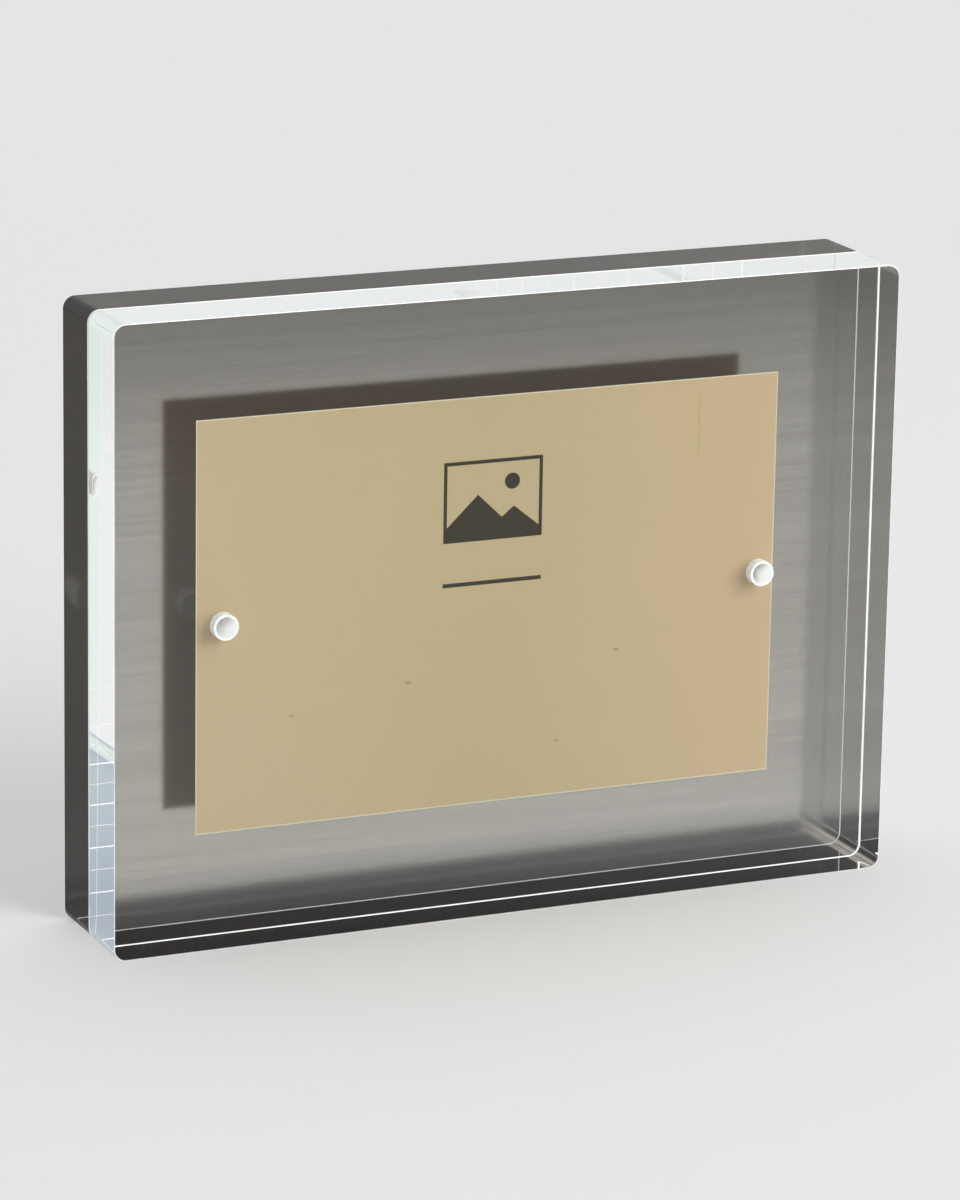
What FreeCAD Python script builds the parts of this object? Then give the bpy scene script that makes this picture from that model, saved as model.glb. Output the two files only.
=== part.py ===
import FreeCAD, Part
import os

# A desk frame for one print: two clear acrylic blocks of the same outline, held together by
# four small magnets, with the print between them and a metal sheet bonded to the back.
# X runs along the width, Y from the front to the back, Z up. The origin is the middle of
# the footprint, on the surface that the frame stands on. All lengths are millimetres.

# The print, and how it lies between the blocks
card_width = 152.4
card_height = 101.6
card_thickness = 0.3
card_shift_left = 1.2
card_shift_down = 0.7
card_clearance = 0.05

# The blocks: their outline leaves a clear margin round the print
side_margin = 25.8
top_margin = 26.2
front_block_depth = 17.0
rear_block_depth = 17.0
corner_radius = 3.0
edge_bevel = 0.4

# The magnets: one at each side of both blocks, in glue, in a blind pocket of the inner face
magnet_diameter = 6.0
magnet_length = 4.0
magnet_rim = 0.3
magnet_inset = 5.4
magnet_recess = 0.1
glue_wall = 0.15
glue_bed = 0.4

# The sheet on the back, and the clear film that bonds it
film_thickness = 0.1
backing_thickness = 0.8
backing_rim = 0.2

# How far a cutting tool runs past the face that it opens
overrun = 1.0

# Sizes that follow from the ones above
block_width = card_width + 2 * side_margin
block_height = card_height + 2 * top_margin
joint_gap = card_thickness + 2 * card_clearance
total_depth = front_block_depth + joint_gap + rear_block_depth + film_thickness + backing_thickness
front_y = -total_depth / 2
front_joint_y = front_y + front_block_depth
rear_joint_y = front_joint_y + joint_gap
back_y = rear_joint_y + rear_block_depth
magnet_x = card_width / 2 - magnet_inset
magnet_z = block_height / 2
pocket_radius = magnet_diameter / 2 + glue_wall
pocket_depth = glue_bed + magnet_length + magnet_recess

# How close an edge lies to a plane to count as in it
edge_tolerance = 0.001

# The two ways from the joint into a block, and the two sides as seen from the front
backwards = FreeCAD.Vector(0, 1, 0)
forwards = FreeCAD.Vector(0, -1, 0)
sides = {"left": -1, "right": 1}


def edges_along(shape, way):
    """The straight edges of a shape that run along a direction."""
    straight = [edge for edge in shape.Edges if isinstance(edge.Curve, Part.Line)]
    return [edge for edge in straight if edge.Curve.Direction.cross(way).Length < edge_tolerance]


def edges_at(shape, y):
    """The edges of a shape that lie wholly in the plane at y."""
    def in_plane(edge):
        box = edge.BoundBox
        return abs(box.YMin - y) < edge_tolerance and abs(box.YMax - y) < edge_tolerance
    return [edge for edge in shape.Edges if in_plane(edge)]


def slab(inset, y, depth):
    """A slab of the blocks' outline, drawn in by inset, with its corners rounded."""
    corner = FreeCAD.Vector(inset - block_width / 2, y, inset)
    box = Part.makeBox(block_width - 2 * inset, depth, block_height - 2 * inset, corner)
    return box.makeFillet(corner_radius - inset, edges_along(box, backwards))


def rod(radius, length, x, y, way):
    """A rod at the magnets' height that starts at y and runs along way."""
    return Part.makeCylinder(radius, length, FreeCAD.Vector(x, y, magnet_z), way)


def block(y, depth, joint_y, way):
    """A clear block with bevelled edges and a blind pocket at each side of its inner face.
    way points from the inner face into the block."""
    body = slab(0, y, depth)
    body = body.makeChamfer(edge_bevel, edges_at(body, y) + edges_at(body, y + depth))
    for side in sides.values():
        mouth = joint_y - way.y * overrun
        body = body.cut(rod(pocket_radius, pocket_depth + overrun, side * magnet_x, mouth, way))
    return body


def magnet(side, joint_y, way):
    """A nickel-plated rod magnet with broken rims, a little below the block's inner face."""
    start = joint_y + way.y * magnet_recess
    body = rod(magnet_diameter / 2, magnet_length, side * magnet_x, start, way)
    rims = edges_at(body, start) + edges_at(body, start + way.y * magnet_length)
    return body.makeChamfer(magnet_rim, rims)


def glue(side, joint_y, way, held):
    """The cup of glue that fills the pocket round and under the magnet."""
    start = joint_y + way.y * magnet_recess
    fill = rod(pocket_radius, magnet_length + glue_bed, side * magnet_x, start, way)
    return fill.cut(held)


def insert_card():
    """The print, a little off the middle of the blocks, as it was put in."""
    left = -card_width / 2 - card_shift_left
    bottom = (block_height - card_height) / 2 - card_shift_down
    corner = FreeCAD.Vector(left, front_joint_y + card_clearance, bottom)
    return Part.makeBox(card_width, card_thickness, card_height, corner)


def backing_plate():
    """The metal sheet, as large as the flat of the rear block's back, its rear rim broken."""
    start = back_y + film_thickness
    sheet = slab(edge_bevel, start, backing_thickness)
    return sheet.makeChamfer(backing_rim, edges_at(sheet, start + backing_thickness))


def half(name, y, depth, joint_y, way):
    """The named pieces of one half: its block, its magnets and the glue that holds them."""
    pieces = {name + "_block": block(y, depth, joint_y, way)}
    for side_name, side in sides.items():
        held = magnet(side, joint_y, way)
        pieces[name + "_magnet_" + side_name] = held
        pieces[name + "_glue_" + side_name] = glue(side, joint_y, way, held)
    return pieces


pieces = half("front", front_y, front_block_depth, front_joint_y, forwards)
pieces.update(half("rear", rear_joint_y, rear_block_depth, rear_joint_y, backwards))
pieces["insert_card"] = insert_card()
pieces["bonding_film"] = slab(edge_bevel, back_y, film_thickness)
pieces["backing_plate"] = backing_plate()

os.makedirs("parts", exist_ok=True)
for node, shape in pieces.items():
    shape.exportStep("parts/" + node + ".step")
    print(node, len(shape.Solids), "solid", round(shape.Volume, 1), "mm3", shape.isValid())
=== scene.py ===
import math
import bpy
import numpy as np
from mathutils import Matrix, Vector


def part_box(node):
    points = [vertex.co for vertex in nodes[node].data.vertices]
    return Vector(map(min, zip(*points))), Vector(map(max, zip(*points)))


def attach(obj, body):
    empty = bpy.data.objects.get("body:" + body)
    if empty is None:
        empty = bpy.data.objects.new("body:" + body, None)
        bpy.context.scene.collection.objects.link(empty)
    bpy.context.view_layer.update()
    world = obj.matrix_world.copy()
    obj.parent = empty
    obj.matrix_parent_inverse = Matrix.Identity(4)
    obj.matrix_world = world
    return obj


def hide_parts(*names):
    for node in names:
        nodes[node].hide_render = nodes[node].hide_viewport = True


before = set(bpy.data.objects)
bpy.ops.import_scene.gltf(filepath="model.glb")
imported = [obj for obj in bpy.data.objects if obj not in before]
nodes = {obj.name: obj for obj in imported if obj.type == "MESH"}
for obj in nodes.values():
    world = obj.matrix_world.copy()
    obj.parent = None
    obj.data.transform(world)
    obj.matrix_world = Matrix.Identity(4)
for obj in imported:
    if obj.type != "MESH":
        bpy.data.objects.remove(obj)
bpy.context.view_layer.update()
print("stage: frame loaded")

# metres; +X is right as seen from the front, +Y points to the back, +Z up
mm = 0.001


# an operator's two methods: with the wire as its first term, and as its second
def operatorPair(operation):
    return (lambda wire, other: wire.maths(operation, wire, other),
            lambda wire, other: wire.maths(operation, other, wire))


# shader maths: a wire is a node's output, and an expression on wires adds its Math nodes
class Wire:
    def __init__(self, graph, socket):
        self.graph = graph
        self.socket = socket

    def maths(self, operation, *terms):
        return self.graph.node("ShaderNodeMath", {"operation": operation}, dict(enumerate(terms)))

    __add__, __radd__ = operatorPair("ADD")
    __sub__, __rsub__ = operatorPair("SUBTRACT")
    __mul__, __rmul__ = operatorPair("MULTIPLY")
    __truediv__, __rtruediv__ = operatorPair("DIVIDE")
    __pow__, __rpow__ = operatorPair("POWER")
    __gt__ = operatorPair("GREATER_THAN")[0]
    __lt__ = operatorPair("LESS_THAN")[0]
    least = operatorPair("MINIMUM")[0]
    most = operatorPair("MAXIMUM")[0]

    def __neg__(self):
        return self.maths("MULTIPLY", self, -1.0)

    def __abs__(self):
        return self.maths("ABSOLUTE", self)


class Graph:
    def __init__(self, owner):
        owner.use_nodes = True
        self.tree = owner.node_tree
        self.tree.nodes.clear()

    # settings go on the node first, then the values or wires of its sockets, by name or number
    def node(self, kind, settings=None, inputs=None, output=0):
        made = self.tree.nodes.new(kind)
        for name, value in (settings or {}).items():
            setattr(made, name, value)
        for key, value in (inputs or {}).items():
            if isinstance(value, Wire):
                self.tree.links.new(value.socket, made.inputs[key])
            elif made.inputs[key].type == "RGBA" and len(value) == 3:
                made.inputs[key].default_value = (*value, 1)
            else:
                made.inputs[key].default_value = value
        return Wire(self, made.outputs[output]) if made.outputs else None

    def point(self, source="Object"):
        where = self.node("ShaderNodeTexCoord", output=source)
        return [self.node("ShaderNodeSeparateXYZ", None, {0: where}, axis) for axis in "XYZ"]

    # noise on the object's own coordinates; stretch is how fast it changes along each axis, per metre
    def noise(self, stretch, detail=2.0, rough=0.5):
        where = self.node("ShaderNodeTexCoord", output="Object")
        drawn = self.node("ShaderNodeMapping", {"vector_type": "POINT"},
                          {"Vector": where, "Scale": stretch})
        return self.node("ShaderNodeTexNoise", {"noise_dimensions": "3D"},
                         {"Vector": drawn, "Scale": 1.0, "Detail": detail, "Roughness": rough})

    # an eased step: outLow up to low, outHigh from high on
    def ease(self, value, low, high, outLow=0.0, outHigh=1.0):
        return self.node("ShaderNodeMapRange", {"interpolation_type": "SMOOTHSTEP"},
                         {"Value": value, 1: low, 2: high, 3: outLow, 4: outHigh})

    # Mix in colour mode: sockets 6 and 7 are its two colours
    def blend(self, share, first, second):
        return self.node("ShaderNodeMix", {"data_type": "RGBA"}, {0: share, 6: first, 7: second}, 2)

    def level(self, share, first, second):
        return self.node("ShaderNodeMix", {"data_type": "FLOAT"}, {0: share, 2: first, 3: second})

    # a colour times a number or a wire
    def scaled(self, colour, factor):
        return self.node("ShaderNodeVectorMath", {"operation": "SCALE"}, {0: colour, "Scale": factor})

    def either(self, share, first, second):
        return self.node("ShaderNodeMixShader", None, {0: share, 1: first, 2: second})

    def bump(self, height, distance, strength=1.0):
        return self.node("ShaderNodeBump", None,
                         {"Height": height, "Distance": distance, "Strength": strength})

    def principled(self, **inputs):
        named = {key.replace("_", " "): value for key, value in inputs.items()}
        return self.node("ShaderNodeBsdfPrincipled", None, named)

    def ray(self, name):
        return self.node("ShaderNodeLightPath", output=name)


def newMaterial(name, shader):
    made = bpy.data.materials.new(name)
    graph = Graph(made)
    graph.node("ShaderNodeOutputMaterial", None, {"Surface": shader(graph)})
    return made


print("stage: shader tools ready")

magnetLow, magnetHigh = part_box("front_magnet_right")
seatX, seatZ = (magnetLow.x + magnetHigh.x) / 2, (magnetLow.z + magnetHigh.z) / 2

# backing sheet: satin gunmetal, brushed along its width
gunmetal = {
    "pale": (0.525, 0.474, 0.428),
    "dark": (0.470, 0.424, 0.380),
    "roughness": (0.125, 0.145),
    "hairline": (16.0, 16.0, 1600.0),  # noise per metre: long in X, fine in Z
    "band": (4.0, 4.0, 240.0),
    "share": 0.5,  # the hairline's part of the streaks; the band's is the rest
    "contrast": (0.36, 0.64),
    "depth": 0.00012 * mm,
}


def gunmetalShader(graph):
    hairline = graph.noise(gunmetal["hairline"], detail=3.0, rough=0.6)
    band = graph.noise(gunmetal["band"], detail=3.0)
    mixed = hairline * gunmetal["share"] + band * (1 - gunmetal["share"])
    streak = graph.ease(mixed, *gunmetal["contrast"])
    return graph.principled(
        Base_Color=graph.blend(streak, gunmetal["dark"], gunmetal["pale"]), Metallic=1.0,
        Roughness=graph.level(streak, gunmetal["roughness"][1], gunmetal["roughness"][0]),
        Normal=graph.bump(hairline, gunmetal["depth"]))


# clear acrylic, polished all over, with the faint haze that handling leaves; a ray that a rounded
# corner has trapped inside ends in a painted glow, a pale emission that stands in for carried light
acrylic = {
    "tint": (0.965, 0.985, 0.985),
    "index": 1.49,
    "cloud": (40.0, 40.0, 40.0),  # noise per metre
    "haze": (0.55, 0.8, 0.0, 0.006),  # from which noise level to which, and the roughness at both
    "trapped": 13.5,  # reflections after which light counts as trapped
    "paintedGlow": (0.84, 0.90, 0.88),
}


def clearShader(graph):
    haze = graph.ease(graph.noise(acrylic["cloud"], detail=3.0), *acrylic["haze"])
    glass = graph.principled(Base_Color=acrylic["tint"], Roughness=haze,
                             Transmission_Weight=1.0, IOR=acrylic["index"])
    paintedGlow = graph.node("ShaderNodeEmission", None, {"Color": acrylic["paintedGlow"], "Strength": 1.0})
    glass = graph.either(graph.ray("Glossy Depth") > acrylic["trapped"], glass, paintedGlow)
    passing = graph.ray("Is Shadow Ray").most(graph.ray("Is Diffuse Ray"))
    tinted = graph.node("ShaderNodeBsdfTransparent", None, {"Color": acrylic["tint"]})
    return graph.either(passing, glass, tinted)


# a ray's path is told by how often it was reflected and how many faces it passed; the counts lie
# between whole numbers, so that more or fewer is clear
path = {
    "reflected": 0.5,
    "carried": 2.5,  # more reflections than this inside one block: the block carries the light
    "deep": 5.5,  # more reflections than this: all that is left is the light carried inside
    "oneBlock": 2.5,  # fewer faces: the ray is still in the block it came in by
    "thrownBack": 3.5,  # fewer faces: thrown back by the front face or the joint
}


# whether the backing sheet shows this again, and whether light carried inside a block falls on it;
# a ray that hasn't left the front block can't have met the sheet
def seenAgain(graph):
    x, y, z = graph.point()
    reflected = graph.ray("Glossy Depth")
    passed = graph.ray("Transmission Depth")
    carried = (reflected > path["carried"]) * (passed < path["oneBlock"])
    metSheet = (passed > path["oneBlock"]).most((y > 0.0) * (1 - carried))
    return (reflected > path["reflected"]) * metSheet, carried


# white parts inside the acrylic: where the backing sheet shows them in reflection their colour gives
# way to a painted shade, and they give off a painted glow though they are no lamp, at one level in
# plain and another in carried light
def whiteShader(graph, colour, white):
    again, carried = seenAgain(graph)
    colour = graph.blend(again, colour, white["paintedSheetShade"])
    paintedGlow = graph.level(carried, *white["paintedGlow"])
    return graph.principled(
        Base_Color=colour, Roughness=white["roughness"], Metallic=white["metal"],
        Emission_Color=graph.scaled(colour, paintedGlow), Emission_Strength=1.0)


# the bevels at the front and at the joint: a painted highlight, white with a painted glow mixed into
# the clear acrylic by noise, so they show as white lines
bevel = {
    "pale": (0.98, 0.98, 0.96),
    "paintedSheetShade": (0.11, 0.11, 0.105),
    "cloud": (90.0, 90.0, 90.0),
    "share": (0.3, 0.7, 0.8, 0.95),  # from which noise level to which, and how much is white at both
    "paintedGlow": (0.42, 0.70),
    "roughness": 0.5,
    "metal": 0.0,
}


def bevelShader(graph):
    share = graph.ease(graph.noise(bevel["cloud"]), *bevel["share"])
    return graph.either(share, clearShader(graph), whiteShader(graph, bevel["pale"], bevel))


# the drilled wall of a pocket, whitened by the cutter and the adhesive on it, with a painted glow and
# a painted shade where the backing sheet shows it
frost = {
    "pale": (0.95, 0.96, 0.95),
    "grey": (0.78, 0.80, 0.79),
    "paintedSheetShade": (0.34, 0.33, 0.31),
    "cloud": (700.0, 700.0, 1400.0),
    "contrast": (0.3, 0.6),
    "paintedGlow": (0.12, 0.08),
    "roughness": 0.4,
    "metal": 0.0,
}


def frostShader(graph):
    cloud = graph.ease(graph.noise(frost["cloud"], detail=3.0), *frost["contrast"])
    return whiteShader(graph, graph.blend(cloud, frost["grey"], frost["pale"]), frost)


# a magnet's face as it shows through the adhesive at the bottom of its pocket, with painted shade:
# greyer up and left, paler to the right and downwards as if lit from there; with a painted glow too
seat = {
    "pale": (0.93, 0.93, 0.89),
    "grey": (0.39, 0.385, 0.37),
    "paintedSheetShade": (0.34, 0.33, 0.31),
    "slope": (0.8, 0.6),  # how fast it pales to the right and downwards
    "shade": (-2.8 * mm, 1.2 * mm),  # from where to where along that slope
    "cloud": (330.0, 330.0, 330.0),
    "stir": (0.35, 0.65, -0.5 * mm, 0.5 * mm),  # how far the cloud moves the shade
    "paintedGlow": (0.05, 0.0),
    "roughness": 0.38,
    "metal": 0.25,
}


def seatShader(graph):
    x, y, z = graph.point()
    across = abs(x) - seatX
    rightward, downward = seat["slope"]
    # painted shade: the face pales to the right and downwards
    slope = graph.level(x > 0.0, -across, across) * rightward - (z - seatZ) * downward
    cloud = graph.ease(graph.noise(seat["cloud"], detail=3.0), *seat["stir"])
    colour = graph.blend(graph.ease(slope + cloud, *seat["shade"]), seat["grey"], seat["pale"])
    return whiteShader(graph, colour, seat)


# magnets: bright nickel, a little clouded
nickel = {
    "pale": (0.80, 0.80, 0.79),
    "grey": (0.66, 0.66, 0.65),
    "roughness": (0.22, 0.36),
    "cloud": (420.0, 420.0, 420.0),
    "contrast": (0.35, 0.65),
}


def nickelShader(graph):
    cloud = graph.ease(graph.noise(nickel["cloud"], detail=3.0), *nickel["contrast"])
    return graph.principled(
        Base_Color=graph.blend(cloud, nickel["grey"], nickel["pale"]), Metallic=1.0,
        Roughness=graph.level(cloud, nickel["roughness"][1], nickel["roughness"][0]))


clearAcrylic = newMaterial("clearAcrylic", clearShader)
pocketFrost = newMaterial("pocketFrost", frostShader)
paintedBevelHighlight = newMaterial("paintedBevelHighlight", bevelShader)
magnetSeat = newMaterial("magnetSeat", seatShader)
nickelPlate = newMaterial("nickelPlate", nickelShader)
brushedGunmetal = newMaterial("brushedGunmetal", gunmetalShader)

# the two blocks
block = {
    "corner": 3.0 * mm,
    "frontBevels": (0.15 * mm, 0.20 * mm),  # the front block's, at the outer face and at the joint
    "rearBevels": (0.18 * mm, 0.14 * mm),
    "footThin": 0.42,  # how much narrower the bevels are along the edges it stands on
    "arcSteps": 20,
    "edgeStep": 4.0 * mm,  # the longest stretch of a straight edge between two points
    "relief": 0.02 * mm,  # what lies bonded or glued to a block starts this far from its face
    "ringWidth": 0.6 * mm,  # pale rim of adhesive round a magnet's face
    "seamSteps": 40,  # parts of the seam down the middle of the joint face
    "sharpAngle": math.radians(20),
}
clearSlot, frostSlot, seatSlot, metalSlot, bevelSlot = range(5)
slotMaterials = (clearAcrylic, pocketFrost, magnetSeat, brushedGunmetal, paintedBevelHighlight)


# outline points = skeleton + (corner - inset) x normal, where the skeleton is the rectangle shrunk
# by the corner radius: along an edge the skeleton moves and the normal stays, at a corner the other
# way round
def blockOutline(low, high):
    skeleton, normals = [], []
    middle = (low + high) / 2
    halfX, halfZ = ((high - low) / 2).x - block["corner"], ((high - low) / 2).z - block["corner"]
    corners = [(1, -1), (1, 1), (-1, 1), (-1, -1)]  # counter-clockwise from the lower right
    for number, (sx, sz) in enumerate(corners):
        turn = np.linspace(0, np.pi / 2, block["arcSteps"] + 1) + (number - 1) * np.pi / 2
        nx, nz = corners[(number + 1) % 4]
        here = np.array([middle.x + sx * halfX, middle.z + sz * halfZ])
        there = np.array([middle.x + nx * halfX, middle.z + nz * halfZ])
        count = 2 * math.ceil(np.abs(there - here).max() / block["edgeStep"] / 2)  # even: has a middle
        along = np.linspace(0, 1, count + 1)[1:-1, None]
        skeleton += [np.repeat(here[None], len(turn), 0), here + (there - here) * along]
        normal = np.stack([np.cos(turn), np.sin(turn)], 1)
        normals += [normal, np.repeat(normal[-1:], len(along), 0)]
    return np.concatenate(skeleton), np.concatenate(normals)


# rows of the profile, from the outer face to the joint: inset of the outline against depth, a flat
# bevel at both ends, whose width falls by footThin x how far the outline's normal points down; the
# joint face is split at the middle, and each half is a fan of quads from the outline to the circle
# of its pocket, whose points lie on the lines from the pocket's axis to the outline
def makeBlock(name, outerY, jointY, bonded):
    low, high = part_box(name)
    pocketLow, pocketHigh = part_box(name.replace("block", "glue_right"))
    way = 1 if jointY > outerY else -1
    radius = (pocketHigh.x - pocketLow.x) / 2 + block["relief"]
    floorY = (pocketLow.y if way > 0 else pocketHigh.y) - way * block["relief"]
    axisX, axisZ = (pocketLow.x + pocketHigh.x) / 2, (pocketLow.z + pocketHigh.z) / 2
    skeleton, normals = blockOutline(low, high)
    count = len(skeleton)
    thinner = 1 - block["footThin"] * np.clip(-normals[:, 1], 0, 1)
    outer, joint = (width * thinner for width in block["rearBevels" if bonded else "frontBevels"])
    flush = np.zeros(count)
    rows = [(outerY, outer), (outerY + way * outer, flush),
            (jointY - way * joint, flush), (jointY, joint)]
    points, faces, slots = [], [], []

    def addRow(flat, y):
        start = sum(map(len, points))
        points.append(np.stack([flat[:, 0], np.broadcast_to(y, len(flat)), flat[:, 1]], 1))
        return start + np.arange(len(flat))

    def addStrip(first, second, slot):
        quads = np.stack([first, np.roll(first, -1), np.roll(second, -1), second], 1)
        faces.extend(quads.tolist())
        slots.extend([slot] * len(quads))

    loops = [addRow(skeleton + (block["corner"] - inset)[:, None] * normals, y) for y, inset in rows]
    outerSlot = clearSlot if bonded else bevelSlot
    for first, second, slot in zip(loops, loops[1:], (outerSlot, clearSlot, bevelSlot)):
        addStrip(first, second, slot)
    faces.append(loops[0][::-1].tolist())
    slots.append(metalSlot if bonded else clearSlot)

    rim = np.concatenate(points)[loops[-1]][:, [0, 2]]
    seamTop = int(np.argmin(np.abs(rim[:, 0]) + (rim[:, 1] < axisZ)))
    seamFoot = int(np.argmin(np.abs(rim[:, 0]) + (rim[:, 1] > axisZ)))
    up = np.arange(1, block["seamSteps"])[:, None] / block["seamSteps"]
    seamZ = rim[seamFoot, 1] + up * (rim[seamTop, 1] - rim[seamFoot, 1])
    seam = addRow(np.concatenate([np.zeros_like(seamZ), seamZ], 1), jointY)  # from the foot up
    ring = np.arange(count)
    right = ring[(ring - seamFoot) % count <= (seamTop - seamFoot) % count]
    right = right[np.argsort((right - seamFoot) % count)]
    left = ring[(ring - seamTop) % count <= (seamFoot - seamTop) % count]
    left = left[np.argsort((left - seamTop) % count)]
    for side, edge, back in ((1, right, seam[::-1]), (-1, left, seam)):
        half = np.concatenate([loops[-1][edge], back])
        flat = np.concatenate(points)[half][:, [0, 2]]
        axis = np.array([side * axisX, axisZ])
        spoke = (flat - axis) / np.linalg.norm(flat - axis, axis=1, keepdims=True)
        mouth = addRow(axis + radius * spoke, jointY)
        foot = addRow(axis + radius * spoke, floorY)
        inner = addRow(axis + (radius - block["ringWidth"]) * spoke, floorY)
        addStrip(half, mouth, clearSlot)
        addStrip(mouth, foot, frostSlot)
        addStrip(foot, inner, frostSlot)
        faces.append(inner.tolist())
        slots.append(seatSlot)

    if way > 0:
        faces = [face[::-1] for face in faces]
    mesh = bpy.data.meshes.new(name + "Clear")
    mesh.from_pydata(np.concatenate(points), [], faces)
    for material in slotMaterials:
        mesh.materials.append(material)
    mesh.polygons.foreach_set("material_index", slots)
    mesh.polygons.foreach_set("use_smooth", [True] * len(faces))
    mesh.set_sharp_from_angle(angle=block["sharpAngle"])
    mesh.update()
    made = bpy.data.objects.new(name + "Clear", mesh)
    bpy.context.scene.collection.objects.link(made)
    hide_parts(name)
    return made


frontLow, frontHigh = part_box("front_block")
rearLow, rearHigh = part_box("rear_block")
frontClear = makeBlock("front_block", frontLow.y, frontHigh.y, False)
rearClear = makeBlock("rear_block", rearHigh.y - block["relief"], rearLow.y, True)
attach(frontClear, "front_half")
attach(rearClear, "rear_half")
print("stage: blocks made")


def dress(node, material):
    nodes[node].data.materials.clear()
    nodes[node].data.materials.append(material)


# bonding film: its edge is all that shows
film = {
    "grey": (0.55, 0.56, 0.56),
    "pale": (0.68, 0.69, 0.69),
    "roughness": 0.3,
    "cloud": (300.0, 300.0, 300.0),
}


def filmShader(graph):
    colour = graph.blend(graph.noise(film["cloud"]), film["grey"], film["pale"])
    return graph.principled(Base_Color=colour, Roughness=film["roughness"])


bondingFilm = newMaterial("bondingFilm", filmShader)
dress("bonding_film", bondingFilm)
dress("backing_plate", brushedGunmetal)
for half in ("front", "rear"):
    for side in ("left", "right"):
        dress(f"{half}_magnet_{side}", nickelPlate)
        dress(f"{half}_glue_{side}", pocketFrost)

# insert card: beige face with a small printed drawing, pale cut edges, brown back
card = {
    "left": (0.560, 0.417, 0.246),
    "middle": (0.515, 0.390, 0.220),
    "right": (0.580, 0.412, 0.245),
    "fibre": (0.44, 0.34, 0.19),
    "core": (0.74, 0.66, 0.47),
    "back": (0.51, 0.32, 0.11),
    "backFibre": (0.36, 0.21, 0.07),
    "ink": (0.025, 0.018, 0.004),
    "speck": (0.22, 0.17, 0.07),
    "stain": (0.46, 0.39, 0.13),
    "skin": 0.02 * mm,  # how near a point lies to the face to count as printed
    "rim": 0.22 * mm,
    "fine": (2200.0, 2200.0, 2200.0),
    "broad": (16.0, 16.0, 16.0),
    "faceGrain": (0.35, 0.75, 0.0, 0.12),  # from which noise level to which, and its share at both
    "backGrain": (0.35, 0.75, 0.0, 0.5),
    "backBroad": (0.3, 0.7, 0.5, 1.0),
    "drift": 50.0 * mm,  # how far the broad noise moves the change of tone across the face
    "roughness": 0.5,
    "gloss": 0.15,
    "depth": 0.01 * mm,
}

# what is printed and what marks the card, in millimetres as X and Z
drawing = {
    "middle": (-0.9, 101.5),
    "frame": (13.0, 10.0, 0.9),  # half width, half height and line
    "hills": [(-4.0, 1.5, 0.95), (5.5, -2.0, 0.80)],  # middle, top and slope
    "sun": (5.0, 4.2, 2.0),  # middle and radius
    "rule": (-0.9, 81.0, 13.0, 0.5),  # middle, half length and half thickness
    "crease": (53.85, 105.4, 125.4, 0.7),  # X, lower and upper end, half width
    "creaseEnds": (4.0, 3.0),  # length of the fade at the lower and the upper end
    "creaseShare": 0.7,  # how much of the stain it takes on
    "creaseWander": (3.0, 90.0),  # how far it wanders, and the noise's pace along Z, per metre
    "specks": [(32.7, 60.7, 0.9), (17.0, 39.1, 0.8), (-22.5, 57.8, 1.0), (-52.9, 52.6, 0.7)],
    "speckFlat": 0.4,  # height of a speck to its width
    "speckShare": 0.8,
}
cardLow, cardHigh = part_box("insert_card")


# a picture sign: two hills and a sun within a frame, and a rule below
def printedInk(graph, x, z):
    across = x / mm - drawing["middle"][0]
    up = z / mm - drawing["middle"][1]
    halfWidth, halfHeight, line = drawing["frame"]
    outside = (abs(across) < halfWidth) * (abs(up) < halfHeight)
    inside = (abs(across) < halfWidth - line) * (abs(up) < halfHeight - line)
    sunX, sunZ, radius = drawing["sun"]
    filled = (across - sunX) ** 2.0 + (up - sunZ) ** 2.0 < radius ** 2
    for middle, top, slope in drawing["hills"]:
        filled = filled.most(up < top - abs(across - middle) * slope)
    ruleX, ruleZ, halfLength, halfThick = drawing["rule"]
    rule = (abs(x / mm - ruleX) < halfLength) * (abs(z / mm - ruleZ) < halfThick)
    return (outside * (1 - inside)).most(inside * filled).most(rule)


# a faint upright crease that fades out at both ends and wanders a little
def creaseShare(graph, x, z):
    creaseX, foot, top, half = drawing["crease"]
    footFade, topFade = drawing["creaseEnds"]
    sway, pace = drawing["creaseWander"]
    wander = (graph.noise((0.0, 0.0, pace)) - 0.5) * sway
    crease = graph.ease(abs(x / mm - creaseX + wander), 0.0, half, drawing["creaseShare"], 0.0)
    crease = crease * graph.ease(z / mm, foot, foot + footFade)
    return crease * graph.ease(z / mm, top - topFade, top, 1.0, 0.0)


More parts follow.
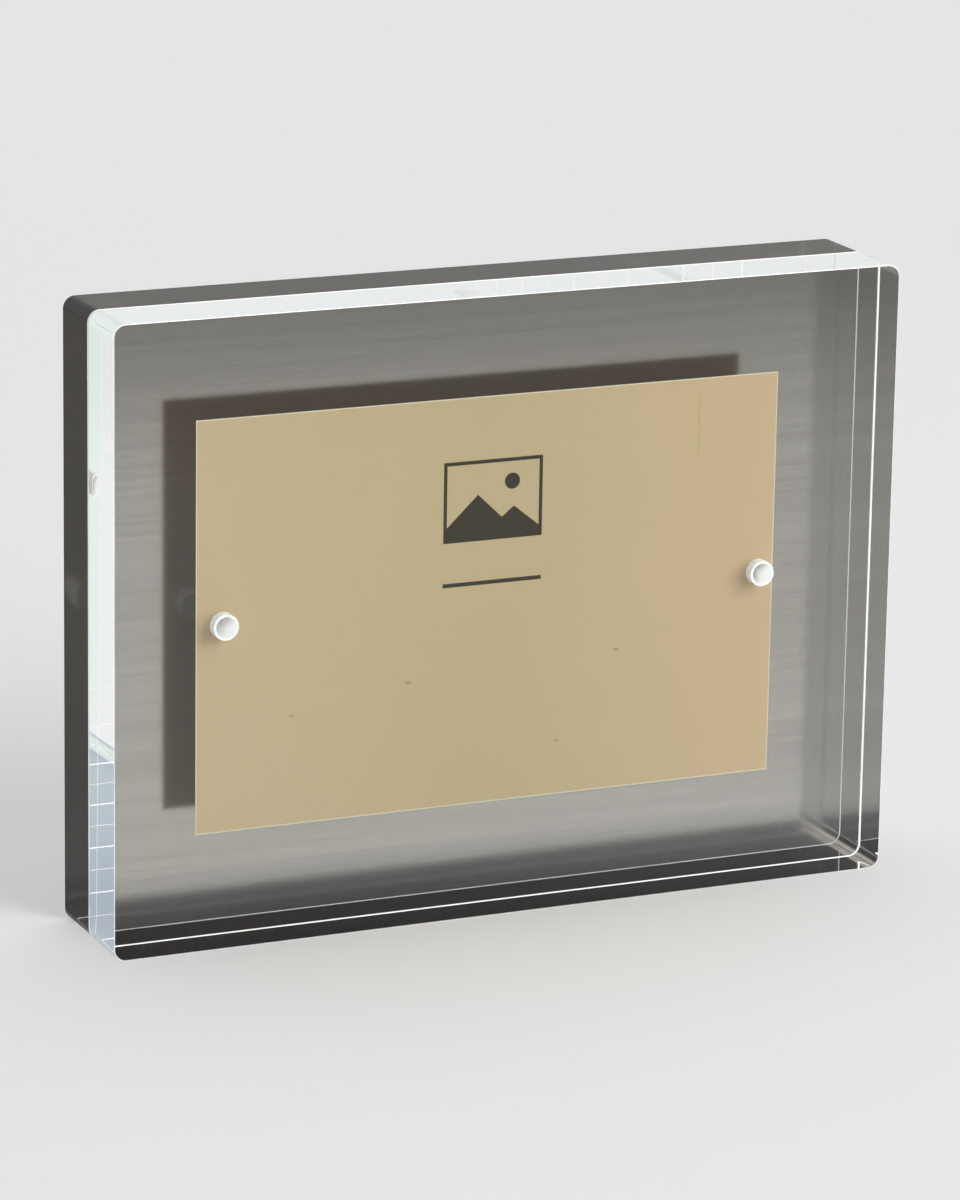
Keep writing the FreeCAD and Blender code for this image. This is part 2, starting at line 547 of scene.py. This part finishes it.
def cardShader(graph):
    x, y, z = graph.point()
    fibre = graph.noise(card["fine"], detail=4.0)
    broad = graph.noise(card["broad"])
    across = x + (broad - 0.5) * card["drift"]
    face = graph.blend(graph.ease(across, cardLow.x, 0.0), card["left"], card["middle"])
    face = graph.blend(graph.ease(across, 0.0, cardHigh.x), face, card["right"])
    face = graph.blend(graph.ease(fibre, *card["faceGrain"]), face, card["fibre"])
    face = graph.blend(creaseShare(graph, x, z), face, card["stain"])
    for speckX, speckZ, half in drawing["specks"]:
        flat = drawing["speckFlat"] * half
        away = ((x / mm - speckX) / half) ** 2.0 + ((z / mm - speckZ) / flat) ** 2.0
        share = graph.ease(away, 0.0, 1.0, drawing["speckShare"], 0.0)
        face = graph.blend(share, face, card["speck"])
    face = graph.blend(printedInk(graph, x, z), face, card["ink"])

    inset = (x - cardLow.x).least(cardHigh.x - x).least(z - cardLow.z).least(cardHigh.z - z)
    edge = (inset < card["rim"]).most(y > cardLow.y + card["skin"])
    colour = graph.blend(edge, face, card["core"])
    board = graph.ease(fibre, *card["backGrain"]) * graph.ease(broad, *card["backBroad"])
    board = graph.blend(board, card["back"], card["backFibre"])
    colour = graph.blend(y > cardHigh.y - card["skin"], colour, board)
    return graph.principled(
        Base_Color=colour, Roughness=card["roughness"], Specular_IOR_Level=card["gloss"],
        Normal=graph.bump(fibre, card["depth"]))


beigeCard = newMaterial("beigeCard", cardShader)
dress("insert_card", beigeCard)
print("stage: pieces dressed")

# floor: pale paper that turns into an even backdrop far from the object
ground = {
    "colour": (0.80, 0.80, 0.80),
    "roughness": 0.9,
    "reach": 6.0,
    "height": -0.03 * mm,
    "backdrop": (0.78, 0.78, 0.78),
    "sweep": (0.35, 1.0),  # how far from the object the one turns into the other
}

# the paper as the blocks and the metal show it, a painted emission whose tones are painted light and
# shade: each fade has from where to where it goes, in metres, and its tone at both ends; ahead is
# before the front face, behind is behind the joint
paper = {
    # painted shade: the paper darker far before the front face
    "ahead": (0.38, 0.70, 0.83, 0.32),
    "lift": (0.0, 0.30, 1.1, 1.0),
    # painted shadow at the foot of the block: the paper darker right before the front face
    "foot": (0.016, 0.035, 0.70, 1.0),
    "right": (0.06, 0.30, 1.0, 0.95),
    # painted shadow next to the joint: the paper darkest right behind the block
    "behind": (0.016, 0.06, 0.15, 0.50),
    "turn": (-0.02, 0.06),  # where ahead turns into behind
    "behindTint": (0.92, 1.0, 0.96),
    # painted dimming of the paper where the front face and the joint reflect it
    "glare": (0.55, 1.05),  # share that the front face and the joint show: overall, low on the right
    "glareSlant": 0.37,
    "glareRight": (-0.06, 0.10),
    "glareAhead": (0.04, 0.12, 1.0, 0.0),
    # painted loss of the paper's light with each reflection inside a block
    "wall": 0.66,  # what one reflection inside a block leaves of the light
}

# painted light: the tone that light the blocks have carried along inside is given, over the floor and
# over the room
paintedCarriedTone = {
    "low": (0.52, 0.59, 0.66),
    "high": (0.385, 0.44, 0.555),
    "rise": (0.288, 0.318),  # between which rises of a ray the one turns into the other
    "near": (0.095, 0.110, 1.13, 1.03),  # over the floor, along X
    "far": (0.15, 0.27, 1.13, 0.93),
}

# the room that reflected rays see, by the direction of the ray
room = {
    "world": (0.45, 0.45, 0.45),  # what lights the object
    "front": (0.030, 0.027, 0.024),
    "back": (0.40, 0.42, 0.41),
    "turn": (-0.35, 0.15),  # where the front turns into the back
    "window": (0.82, 0.80, 0.76),
    "windowFoot": (0.39, 0.45),  # the window stands high before the front, and to the left
    "windowSide": (-0.10, 0.06, 1.0, 0.0),
    "windowAhead": (0.3, 0.6),
    "overhead": (1.0, 1.0, 1.0),
    "overheadFoot": (0.5, 0.8),
}


# what reflected and carried rays see: whether a block carried them, and what its walls left of them;
# a direct ray, also one that only went through a block, sees the floor and the backdrop as they are
def carriedLight(graph):
    bounces = graph.ray("Glossy Depth")
    passing = graph.ray("Is Transmission Ray")
    seen = graph.ray("Is Glossy Ray").most(passing) * (bounces > path["reflected"])
    direct = graph.ray("Is Camera Ray").most(passing * (1 - seen))
    return seen, direct, bounces > path["deep"], paper["wall"] ** (bounces - 1).most(0.0)


def paperLight(graph, x, y):
    ahead = graph.ease(-y, *paper["ahead"]) * graph.ease(-y, *paper["lift"])
    ahead = ahead * graph.ease(x, *paper["right"]) * graph.ease(-y, *paper["foot"])
    tone = graph.level(graph.ease(y, *paper["turn"]), ahead, graph.ease(y, *paper["behind"]))
    corner = graph.ease(x + y * paper["glareSlant"], *paper["glareRight"])
    glare = graph.level(corner * graph.ease(-y, *paper["glareAhead"]), *paper["glare"])
    thrownBack = graph.ray("Transmission Depth") < path["thrownBack"]
    return tone * graph.level(thrownBack, 1.0, glare)


def floorShader(graph):
    x, y, z = graph.point()
    seen, direct, deep, left = carriedLight(graph)
    # painted light carried inside the blocks, over the floor
    carried = graph.ease(x, *paintedCarriedTone["near"]).least(graph.ease(x, *paintedCarriedTone["far"]))
    # painted light: reflections see the paper as an emission of painted tones, not as lit paper
    strength = graph.level(deep, paperLight(graph, x, y) * left, carried)
    tint = graph.blend(graph.ease(y, *paper["turn"]), (1, 1, 1), paper["behindTint"])
    paintedGlow = graph.node("ShaderNodeEmission", None,
                      {"Color": graph.scaled(tint, strength), "Strength": 1.0})
    pale = graph.principled(Base_Color=ground["colour"], Roughness=ground["roughness"],
                            Specular_IOR_Level=0.0)
    backdrop = graph.node("ShaderNodeEmission", None,
                          {"Color": ground["backdrop"], "Strength": 1.0})
    away = graph.ease((x * x + y * y) ** 0.5, *ground["sweep"])
    return graph.either(seen, graph.either(away * direct, pale, backdrop), paintedGlow)


def makeFloor():
    mesh = bpy.data.meshes.new("floor")
    reach, height = ground["reach"], ground["height"]
    corners = [(x * reach, y * reach, height) for x, y in ((-1, -1), (1, -1), (1, 1), (-1, 1))]
    mesh.from_pydata(corners, [], [(0, 1, 2, 3)])
    mesh.materials.append(newMaterial("paleFloor", floorShader))
    floor = bpy.data.objects.new("floor", mesh)
    bpy.context.scene.collection.objects.link(floor)


def makeWorld():
    world = bpy.data.worlds.new("studio")
    bpy.context.scene.world = world
    graph = Graph(world)
    x, y, z = graph.point("Generated")
    seen, direct, deep, left = carriedLight(graph)
    around = graph.blend(graph.ease(y, *room["turn"]), room["front"], room["back"])
    window = graph.ease(z, *room["windowFoot"]) * graph.ease(x, *room["windowSide"])
    around = graph.blend(window * graph.ease(-y, *room["windowAhead"]), around, room["window"])
    # painted light carried inside the blocks, for rays reflected many times
    risen = graph.ease(z, *paintedCarriedTone["rise"])
    carried = graph.blend(risen, paintedCarriedTone["low"], paintedCarriedTone["high"])
    around = graph.blend(deep, around, carried)
    around = graph.blend(graph.ease(z, *room["overheadFoot"]), around, room["overhead"])
    colour = graph.blend(direct, graph.blend(seen, room["world"], around), ground["backdrop"])
    light = graph.node("ShaderNodeBackground", None, {"Color": colour, "Strength": 1.0})
    graph.node("ShaderNodeOutputWorld", None, {"Surface": light})


# lamps: soft squares that reflections don't show
lamps = {
    "keyLamp": {"place": (1.80, -2.20, 1.10), "target": (0, 0, 0.08), "size": 2.6, "power": 78.0},
    "topLamp": {"place": (0.3, 0.9, 2.6), "target": (0, 0, 0), "size": 3.5, "power": 38.0},
}


def makeLamp(name, place, target, size, power):
    data = bpy.data.lights.new(name, "AREA")
    data.energy = power
    data.size = size
    made = bpy.data.objects.new(name, data)
    made.location = place
    made.rotation_euler = (Vector(target) - Vector(place)).to_track_quat("-Z", "Y").to_euler()
    made.visible_glossy = False
    made.visible_transmission = False
    bpy.context.scene.collection.objects.link(made)


makeFloor()
makeWorld()
for name, lamp in lamps.items():
    makeLamp(name, **lamp)

# camera: its place, a point on its axis and its lens follow from the photograph's perspective
camera = {
    "place": (-0.5415, -1.20188, 0.43224),
    "target": (-0.00093, -0.00027, 0.07469),
    "roll": 0.949,  # degrees, the right side tips up
    "lens": 168.63,
    "sensor": 36.0,
    "clip": (0.05, 30.0),
}


def makeCamera():
    data = bpy.data.cameras.new("camera")
    data.lens = camera["lens"]
    data.sensor_width = camera["sensor"]
    data.clip_start, data.clip_end = camera["clip"]
    made = bpy.data.objects.new("camera", data)
    look = Vector(camera["target"]) - Vector(camera["place"])
    turn = look.to_track_quat("-Z", "Y").to_matrix().to_4x4()
    roll = Matrix.Rotation(math.radians(camera["roll"]), 4, "Z")
    made.matrix_world = Matrix.Translation(camera["place"]) @ turn @ roll
    bpy.context.scene.collection.objects.link(made)
    bpy.context.scene.camera = made


makeCamera()
bpy.context.scene.view_settings.view_transform = "Standard"

# how many times light may turn inside the blocks before it is given up
bounces = {"inside": 40, "transparent": 24}
cycles = bpy.context.scene.cycles
cycles.max_bounces = bounces["inside"]
cycles.glossy_bounces = bounces["inside"]
cycles.transmission_bounces = bounces["inside"]
cycles.transparent_max_bounces = bounces["transparent"]
cycles.blur_glossy = 0.0
print("stage: studio set")
